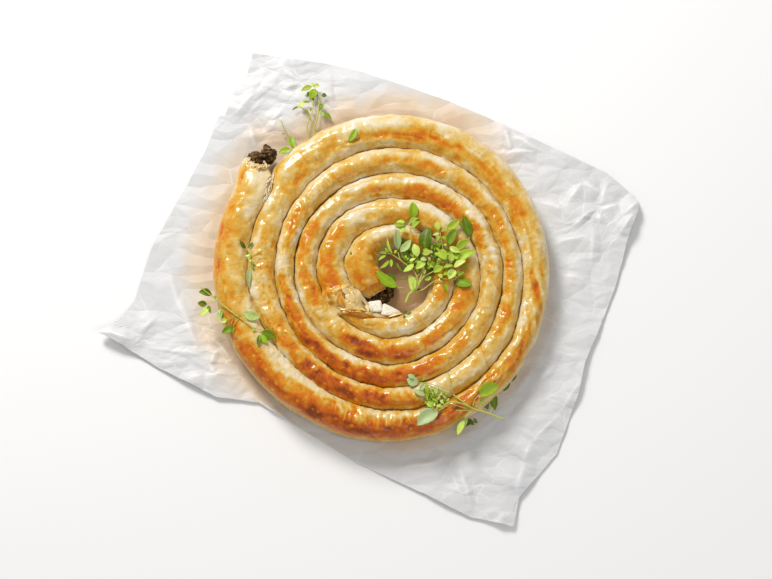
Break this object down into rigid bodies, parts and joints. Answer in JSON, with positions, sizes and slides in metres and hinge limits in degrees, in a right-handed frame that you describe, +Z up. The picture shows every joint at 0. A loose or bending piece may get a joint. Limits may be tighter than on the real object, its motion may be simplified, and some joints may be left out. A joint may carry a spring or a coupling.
{
  "type": "spanakopita pie",
  "caption": "Round spiral pie: a filo rope with spinach and feta filling, coiled flat on a creased sheet of baking paper.",
  "frame": {"origin": "on the surface that the paper lies on, under the middle of the paper's outline", "axes": "+Z up; +X to the right and +Y away from someone who looks at the pie with the rope's outer end at the back left"},
  "size_m": [0.4823, 0.4365, 0.0315],
  "materials": {
    "baked_filo": "satin",
    "spinach_filling": "matte",
    "feta": "satin",
    "baking_paper": "matte",
    "fresh_herbs": "satin"
  },
  "bodies": {
    "root": {"filo_pastry": "baked_filo", "spinach_filling": "spinach_filling", "feta_1": "feta", "feta_2": "feta", "baking_paper": "baking_paper"}
  },
  "joints": []
}
